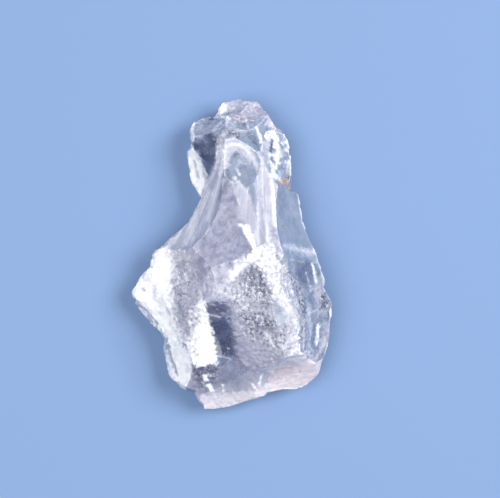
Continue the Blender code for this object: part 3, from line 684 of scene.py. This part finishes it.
                 (18.6, -7.2)), 0.22, 0.35, 0.15, 0.8),
    Mark(CHALK, ((19.9, -11.0), (19.9, -13.6), (19.7, -17.0), (18.8, -20.4)), 0.25, 0.35, 0.15, 0.8),
    Mark(SNOW, ((6.4, -22.8), (9.4, -21.4), (12.8, -20.2), (15.6, -19.2)), 0.4, 0.9, 1.1, 0.85),
    # left wing and lower left
    Mark(CHALK, ((-12.8, 2.4), (-12.4, -1.6), (-12.1, -4.2), (-11.4, -6.6), (-10.9, -9.8), (-13.8, -11.6),
                 (-19.4, -8.0), (-15.0, -2.0)), soft=0.4, ragged=0.5, strength=0.7),
    Mark(PEARL, ((-16.9, -4.6), (-15.4, -7.2), (-14.6, -9.6)), 0.3, 1.8, 1.6, 0.5),
    Mark(LILAC, ((-17.7, -6.9), (-17.5, -7.1)), 0.22, 0.5, strength=0.8),
    Mark(CHALK, ((-10.0, -2.8), (-9.2, -3.6), (-8.4, -5.0)), 0.3, 0.4, 0.7),
    Mark(SALT, ((-12.0, 0.6), (-8.6, 0.8), (-6.0, -3.0), (-6.4, -9.0), (-11.4, -9.6)),
         soft=2.0, ragged=1.0, strength=0.6),
    # Painted shade in the dark speckle
    Mark(PEPPER, ((-11.4, -5.4), (-10.0, -6.2), (-9.4, -9.2), (-10.8, -9.0)), soft=1.4,
         ragged=1.2, strength=0.6),
    Mark(SNOW, ((-19.6, -8.4), (-17.6, -11.6), (-15.4, -13.6)), 0.25, 0.8, 0.7, 0.7),
    Mark(SNOW, ((-13.6, -15.4), (-13.3, -19.0), (-12.2, -22.4)), 0.2, 0.8, 0.7, 0.6),
    Mark(BEIGE, ((-9.4, 0.2), (-8.4, -0.6)), 0.5, 0.9, strength=0.5),
    Mark(DOVE, ((-11.2, 1.4), (-8.6, 1.0), (-5.8, 2.4)), 0.8, 2.0, 1.6, 0.7),
    Mark(LILAC, ((-12.6, -11.2), (-11.8, -14.0), (-10.9, -16.4)), 0.28, 0.7, 0.5, 0.75),
    Mark(CHALK, ((-13.2, -12.4), (-11.6, -11.0), (-9.6, -17.0), (-8.4, -21.4), (-9.4, -23.8),
                 (-11.2, -19.4)), soft=1.2, ragged=1.4, strength=0.75),
    Mark(SALT, ((-11.2, -7.6), (-7.6, -8.0), (-7.8, -13.0), (-8.8, -18.6), (-9.8, -16.4), (-11.6, -11.4)),
         soft=1.6, ragged=1.6, strength=0.85),
    Mark(LILAC, ((-9.8, -10.0), (-8.8, -12.4), (-9.0, -16.0)), 0.4, 0.9, 1.2, 0.7),
    # Partly painted shade in the darker glass
    Mark(SLATE_GLASS, ((-12.6, -18.0), (-11.9, -21.0), (-10.9, -24.0)), 0.25, 0.5, 0.3, 0.8),
    # foot
    Mark(LILAC, ((-7.4, -22.4), (-2.6, -21.8), (6.0, -21.8), (8.6, -24.0), (6.6, -26.4), (1.6, -27.6),
                 (-6.6, -28.0)), soft=1.0, ragged=0.8, strength=0.55),
    # Painted shade: darker glass, dark speckle and a dark patch at the foot
    Mark(SLATE_GLASS, ((-2.4, -21.8), (1.4, -22.4), (3.6, -24.6), (1.4, -26.6), (-2.0, -25.6)),
         soft=2.6, ragged=0.8, strength=0.5),
    Mark(PEPPER, ((-7.4, -22.2), (-2.6, -22.0), (-2.4, -24.0), (-4.6, -27.0), (-6.8, -26.4)),
         soft=1.2, ragged=1.2, strength=0.8),
    Mark(DUSK, ((-7.4, -22.4), (-4.6, -22.8), (-2.8, -22.6)), 0.4, 0.9, 1.0, 0.75),
    Mark(CHALK, ((7.4, -27.9), (11.0, -27.4), (14.2, -27.0), (16.6, -25.2), (18.0, -22.8)), 0.15, 0.4, 0.25,
         0.8),
    # Painted glints on the foot
    Mark(CHALK, ((-5.8, -23.7), (-4.9, -23.9), (-4.3, -25.2), (-5.3, -25.4))),
    Mark(CHALK, ((-5.2, -25.8), (-4.2, -25.7), (-3.3, -27.3), (-4.2, -27.5))),
    # Painted shade
    Mark(DUSK, ((-6.6, -23.6), (-5.9, -26.2)), 0.2, 0.5, 0.3, 0.7),
    # Painted glints
    Mark(CHALK, ((-1.7, -26.0), (-1.5, -27.4)), 0.12),
    Mark(CHALK, ((4.1, -25.8), (5.2, -27.0)), 0.14),
    Mark(CHALK, ((6.1, -23.8), (5.6, -26.2)), 0.2, 0.4, 0.5),
    Mark(BEIGE, ((13.8, -20.2), (16.8, -20.8), (18.6, -18.0), (19.2, -15.0)), 0.45, 1.8, 1.2, 0.65),
    Mark(ROSE, ((7.6, -24.6), (9.4, -22.4), (12.6, -21.8), (12.2, -24.0), (9.0, -25.4)),
         soft=1.2, ragged=1.2, strength=0.7),
    Mark(RUST, ((8.2, -23.4), (10.2, -22.6), (12.4, -22.9)), 0.08, 0.5, 0.7, 0.4),
]


@dataclass
class QuartzBody:
    """The chunk itself, from a refined copy of the solid, with its lengths in millimetres.

    A face belongs to the scar of the lowest cost: its gap to the sphere and its lean, in their units.
    """

    node: str = "clear_quartz"
    weld: float = 0.0001
    sliver: float = 0.02
    gap_unit: float = 0.1
    lean_unit: float = 0.01
    sure_cost: float = 2.5
    ridge_angle: float = math.radians(11.0)
    crease_ratio: float = 2.4
    refine_rounds: int = 6
    longest_edge: float = 0.45
    hidden_edge: float = 0.9
    rim_slope: float = 0.05
    undulation: tuple[tuple[float, float], ...] = ((0.14, 6.0), (0.07, 2.6))
    ridge_bite: float = 0.38
    ridge_bite_size: float = 0.9
    ridge_bite_shift: Point3 = (9.0, 3.0, 5.0)
    ridge_reach: float = 0.7
    rest_guard: float = 0.35
    rest_slope: float = -0.6
    ragged_size: float = 0.6
    # White along the ridges: partly frost of crushed edges, partly painted highlight
    ridge_frost_and_highlight: float = 0.22
    ridge_frost_and_highlight_ragged: tuple[float, float] = (1.6, 0.05)
    ridge_frost_and_highlight_share: float = 0.8
    ridge_frost_and_highlight_run: float = 3.0
    ridge_frost_and_highlight_runs: tuple[float, float] = (0.35, 1.5)
    ridge_frost_and_highlight_edge: float = 1.2
    finish: QuartzFinish = QuartzFinish()

    def solid_copy(self) -> bmesh.types.BMesh:
        """Copies the solid's mesh, joins its loose triangles and closes up the very thin ones.

        Returns:
            The copy, in millimetres.
        """
        bm = bmesh.new()
        bm.from_mesh(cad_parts[self.node].data)
        bmesh.ops.scale(bm, vec=(1 / MM, 1 / MM, 1 / MM), verts=bm.verts[:])
        bmesh.ops.remove_doubles(bm, verts=bm.verts[:], dist=self.weld)
        self.drop_slivers(bm)
        return bm

    def triangulate(self, bm: bmesh.types.BMesh) -> None:
        """Cuts every face with more than three corners into triangles.

        Args:
            bm: the mesh.
        """
        bmesh.ops.triangulate(bm, faces=[face for face in bm.faces if len(face.verts) > 3],
                              quad_method="SHORT_EDGE", ngon_method="EAR_CLIP")

    def drop_slivers(self, bm: bmesh.types.BMesh) -> None:
        """Closes up very thin triangles, and drops faces that then lie back to back.

        Args:
            bm: the mesh, in millimetres.
        """
        bmesh.ops.dissolve_degenerate(bm, edges=bm.edges[:], dist=self.sliver)
        self.triangulate(bm)
        same: dict[frozenset, list[bmesh.types.BMFace]] = {}
        for face in bm.faces:
            same.setdefault(frozenset(face.verts), []).append(face)
        flaps = [face for faces in same.values() if len(faces) > 1 for face in faces]
        bmesh.ops.delete(bm, geom=flaps, context="FACES")

    def sort_faces(self, bm: bmesh.types.BMesh) -> None:
        """Gives each face of the solid the index of its scar, as its material index.

        Args:
            bm: the solid's mesh, in millimetres.
        """
        centres = np.array([scar.centre() for scar in SCARS.values()])
        radii = np.array([scar.radius for scar in SCARS.values()])
        middles = np.array([face.calc_center_median() for face in bm.faces])
        normals = np.array([face.normal for face in bm.faces])
        to_centre = centres[None] - middles[:, None]
        distance = np.linalg.norm(to_centre, axis=2)
        gap = np.abs(distance - radii)
        lean = 1 - np.einsum("fsk,fk->fs", to_centre / distance[:, :, None], normals)
        cost = gap / self.gap_unit + lean / self.lean_unit
        best = cost.argmin(1)
        known = cost.min(1) < self.sure_cost
        tree = kdtree.KDTree(int(known.sum()))
        for index in np.flatnonzero(known):
            tree.insert(middles[index], int(index))
        tree.balance()
        for index, face in enumerate(bm.faces):
            owner = index if known[index] else tree.find(middles[index])[1]
            face.material_index = int(best[owner])
            face.smooth = True

    def mark_ridges(self, bm: bmesh.types.BMesh) -> None:
        """Marks the edges where two scars meet at an angle, so that they stay crisp.

        Args:
            bm: the solid's mesh.
        """
        for edge in bm.edges:
            split = edge.link_faces[0].material_index != edge.link_faces[1].material_index
            limit = self.ridge_angle if split else self.crease_ratio * self.ridge_angle
            edge.smooth = edge.calc_face_angle() < limit

    def refine(self, bm: bmesh.types.BMesh) -> None:
        """Splits long edges until the faces are small enough for the relief.

        Args:
            bm: the solid's mesh, in millimetres.
        """
        for _ in range(self.refine_rounds):
            bm.normal_update()
            long_edges = [edge for edge in bm.edges if edge.calc_length() > self.edge_limit(edge)]
            if not long_edges:
                break
            bmesh.ops.subdivide_edges(bm, edges=long_edges, cuts=1)
            self.triangulate(bm)
            self.drop_slivers(bm)

    def edge_limit(self, edge: bmesh.types.BMEdge) -> float:
        """The longest length an edge may keep: longer on the underside.

        Args:
            edge: the edge.

        Returns:
            The length, in millimetres.
        """
        hidden = all(face.normal.z < -self.rim_slope for face in edge.link_faces)
        return self.hidden_edge if hidden else self.longest_edge

    def ridge_tree(self, bm: bmesh.types.BMesh) -> kdtree.KDTree:
        """Collects the points of all ridges for distance queries.

        Args:
            bm: the refined mesh.

        Returns:
            A tree of the ridge points.
        """
        verts = {vert for edge in bm.edges if not edge.smooth for vert in edge.verts}
        tree = kdtree.KDTree(len(verts))
        for index, vert in enumerate(sorted(verts, key=lambda item: item.index)):
            tree.insert(vert.co, index)
        tree.balance()
        return tree

    def raise_relief(self, bm: bmesh.types.BMesh, ridges: kdtree.KDTree) -> None:
        """Moves each point along its normal: undulation, the scar's own relief, and bites on ridges.

        Args:
            bm: the refined mesh, in millimetres.
            ridges: the ridge points.
        """
        places = np.array([vert.co for vert in bm.verts])
        own = np.zeros(len(places))
        shares = np.zeros(len(places))
        corners = np.array([[vert.index for vert in face.verts] for face in bm.faces])
        scars = np.array([face.material_index for face in bm.faces])
        for number, scar in enumerate(SCARS.values()):
            verts = np.unique(corners[scars == number])
            if len(verts):
                own[verts] += scar.look.height(scar.look.flow(places[verts]))
                shares[verts] += 1
        own /= np.maximum(shares, 1)
        shift = Vector(self.ridge_bite_shift)
        for vert in bm.verts:
            place = vert.co
            height = sum(amount * noise.noise(place / size) for amount, size in self.undulation)
            height += own[vert.index]
            away = ridges.find(place)[2]
            if away < self.ridge_reach:
                bite = max(0.0, noise.noise(place / self.ridge_bite_size + shift))
                height -= self.ridge_bite * bite * (1 - away / self.ridge_reach)
            if vert.normal.z < self.rest_slope:
                height *= min(1.0, place.z / self.rest_guard)
            vert.co = place + vert.normal * height
            vert.co.z = max(vert.co.z, 0.0)

    def paint(self, mesh: bpy.types.Mesh, ridges: kdtree.KDTree) -> None:
        """Writes the traits of each face corner from its scar, the marks and the ridges.

        Args:
            mesh: the finished mesh of triangles, in millimetres, with scar numbers as material
                indices.
            ridges: the ridge points.
        """
        scars = np.zeros(len(mesh.polygons), np.int32)
        mesh.polygons.foreach_get("material_index", scars)
        scars = np.repeat(scars, 3)
        corners = np.zeros(len(mesh.loops), np.int32)
        mesh.loops.foreach_get("vertex_index", corners)
        places = np.array([vert.co for vert in mesh.vertices])
        coats = np.zeros((len(corners), len(SNOW.row())))
        flows = np.zeros((len(corners), 3))
        for number, scar in enumerate(SCARS.values()):
            mine = np.flatnonzero(scars == number)
            if len(mine):
                verts, back = np.unique(corners[mine], return_inverse=True)
                flow = scar.look.flow(places[verts])
                flows[mine] = flow[back]
                coats[mine] = scar.look.coat(flow)[back]
        for cover, wash in self.covers(mesh, places, ridges):
            share = cover[corners][:, None]
            coats = coats * (1 - share) + wash.row() * share
        self.write(mesh, Trait.TONE, "FLOAT_COLOR", np.insert(coats[:, :3], 3, 1.0, axis=1))
        self.write(mesh, Trait.CLEARNESS, "FLOAT", coats[:, 3])
        self.write(mesh, Trait.FROST, "FLOAT", coats[:, 4])
        self.write(mesh, Trait.FLECKS, "FLOAT", coats[:, 5])
        self.write(mesh, Trait.FLOW, "FLOAT_VECTOR", flows * MM)
        mesh.polygons.foreach_set("material_index", np.zeros(len(mesh.polygons), np.int32))

    def covers(self, mesh: bpy.types.Mesh, places: np.ndarray,
               ridges: kdtree.KDTree) -> list[tuple[np.ndarray, Wash]]:
        """Lists the washes over the scars' own coats: frost and painted highlight on the ridges, then the
        marks.

        Args:
            mesh: the finished mesh.
            places: the places of its points, in millimetres.
            ridges: the ridge points.

        Returns:
            Pairs of the cover at each point and its wash.
        """
        ragged = np.array([noise.fractal(Vector(place) / self.ragged_size, *RELIEF_NOISE)
                           for place in places])
        away = np.array([ridges.find(Vector(place))[2] for place in places])
        # Frost and painted highlight along the ridges
        swing, least = self.ridge_frost_and_highlight_ragged
        reach = self.ridge_frost_and_highlight * np.clip(1.0 + swing * ragged, least, None)
        runs = np.array([noise.noise(Vector(place) / self.ridge_frost_and_highlight_run) for place in places])
        middle, swell = self.ridge_frost_and_highlight_runs
        share = self.ridge_frost_and_highlight_share * np.clip(middle + swell * runs, 0.0, 1.0)
        pairs = [(np.clip(self.ridge_frost_and_highlight_edge - away / reach, 0.0, 1.0) * share, SNOW)]
        top = np.array([vert.normal.z > self.rim_slope for vert in mesh.vertices])
        pairs += [(np.where(top, mark.cover(places, ragged), 0.0), mark.wash) for mark in MARKS]
        return pairs

    def write(self, mesh: bpy.types.Mesh, trait: Trait, kind: str, values: np.ndarray) -> None:
        """Writes a trait as an attribute of the face corners.

        Args:
            mesh: the mesh.
            trait: the trait.
            kind: the attribute's data type.
            values: one row for each face corner.
        """
        layer = mesh.attributes.new(trait.value, kind, "CORNER")
        field_name = {"FLOAT": "value", "FLOAT_COLOR": "color", "FLOAT_VECTOR": "vector"}[kind]
        layer.data.foreach_set(field_name, values.astype(np.float32).ravel())

    def build(self) -> bpy.types.Object:
        """Makes the chunk and hands it to the frame.

        Returns:
            The finished piece.
        """
        bm = self.solid_copy()
        self.sort_faces(bm)
        self.mark_ridges(bm)
        self.refine(bm)
        bm.normal_update()
        bm.verts.index_update()
        ridges = self.ridge_tree(bm)
        self.raise_relief(bm, ridges)
        ridges = self.ridge_tree(bm)
        mesh = bpy.data.meshes.new("quartz_chunk")
        bm.to_mesh(mesh)
        bm.free()
        mesh.materials.append(self.finish.material())
        self.paint(mesh, ridges)
        for vert in mesh.vertices:
            vert.co *= MM
        mesh.update()
        piece = bpy.data.objects.new("quartz_chunk", mesh)
        bpy.context.scene.collection.objects.link(piece)
        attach(piece, "root")
        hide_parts(self.node)
        return piece


@dataclass(frozen=True)
class Lamp:
    """A square lamp that faces the chunk: lengths in metres, power in watts."""

    name: str
    place: Point3
    side: float
    power: float
    colour: Colour
    aim: Point3 = (0.0, 0.0, 0.01)

    def hang(self) -> None:
        """Hangs the lamp and turns it to its aim."""
        light = bpy.data.lights.new(self.name, "AREA")
        light.shape = "SQUARE"
        light.size = self.side
        light.energy = self.power
        light.color = self.colour
        lamp = bpy.data.objects.new(self.name, light)
        lamp.location = self.place
        lamp.rotation_euler = (Vector(self.aim) - Vector(self.place)).to_track_quat("-Z", "Y").to_euler()
        bpy.context.scene.collection.objects.link(lamp)


@dataclass
class Studio:
    """The plain floor, the soft light and the camera over the chunk, with lengths in metres."""

    lamps: tuple[Lamp, ...] = (Lamp("window_light", (0.46, 0.14, 0.55), 0.40, 5.4, (0.99, 0.99, 1.0)),
                               Lamp("ceiling_light", (-0.22, -0.02, 0.60), 0.45, 3.0, (0.97, 0.98, 1.0)))
    floor_side: float = 3.0
    floor_drop: float = 0.00005
    floor_colour: Colour = (0.20, 0.30, 0.50)
    camera_place: Point3 = (0.00375, 0.00105, 0.36)
    frame_width: float = 0.100
    outline_height: float = 0.007
    sky: Colour = (0.95, 0.97, 1.0)
    sky_strength: float = 0.30

    def floor(self) -> None:
        """Lays the floor."""
        bm = bmesh.new()
        bmesh.ops.create_grid(bm, x_segments=1, y_segments=1, size=self.floor_side / 2)
        bmesh.ops.translate(bm, vec=(0.0, 0.0, -self.floor_drop), verts=bm.verts[:])
        mesh = bpy.data.meshes.new("floor")
        bm.to_mesh(mesh)
        bm.free()
        material = bpy.data.materials.new("floor")
        material.use_nodes = True
        ink = Ink(material)
        ink.shader.inputs["Base Color"].default_value = (*self.floor_colour, 1.0)
        ink.shader.inputs["Roughness"].default_value = 0.9
        ink.shader.inputs["Specular IOR Level"].default_value = 0.1
        mesh.materials.append(material)
        floor = bpy.data.objects.new("floor", mesh)
        bpy.context.scene.collection.objects.link(floor)

    def surround(self) -> None:
        """Sets the even light of the room."""
        world = bpy.data.worlds.new("room")
        bpy.context.scene.world = world
        world.use_nodes = True
        back = world.node_tree.nodes["Background"]
        back.inputs["Color"].default_value = (*self.sky, 1.0)
        back.inputs["Strength"].default_value = self.sky_strength

    def camera(self) -> None:
        """Places the camera straight above the chunk."""
        lens = bpy.data.cameras.new("camera")
        distance = self.camera_place[2] - self.outline_height
        lens.angle = 2 * math.atan(self.frame_width / 2 / distance)
        lens.clip_start = 0.01
        view = bpy.data.objects.new("camera", lens)
        view.location = self.camera_place
        bpy.context.scene.collection.objects.link(view)
        bpy.context.scene.camera = view

    def set_film(self) -> None:
        """Sets how light is followed through the glass and how the picture is toned."""
        scene = bpy.context.scene
        scene.cycles.max_bounces = 24
        scene.cycles.transmission_bounces = 20
        scene.cycles.glossy_bounces = 8
        scene.cycles.diffuse_bounces = 4
        scene.cycles.blur_glossy = 0.5
        scene.cycles.use_denoising = True
        scene.view_settings.view_transform = "Standard"
        scene.view_settings.exposure = 0.0

    def build(self) -> None:
        """Sets up the whole studio."""
        self.floor()
        for lamp in self.lamps:
            lamp.hang()
        self.surround()
        self.camera()
        self.set_film()


def main() -> None:
    """Builds the chunk and the studio, and reports each piece."""
    logging.basicConfig(level=logging.INFO, format="%(message)s")
    piece = QuartzBody().build()
    LOG.info("%s: %d faces", piece.name, len(piece.data.polygons))
    Studio().build()
    LOG.info("studio set")


if __name__ == "__main__":
    main()
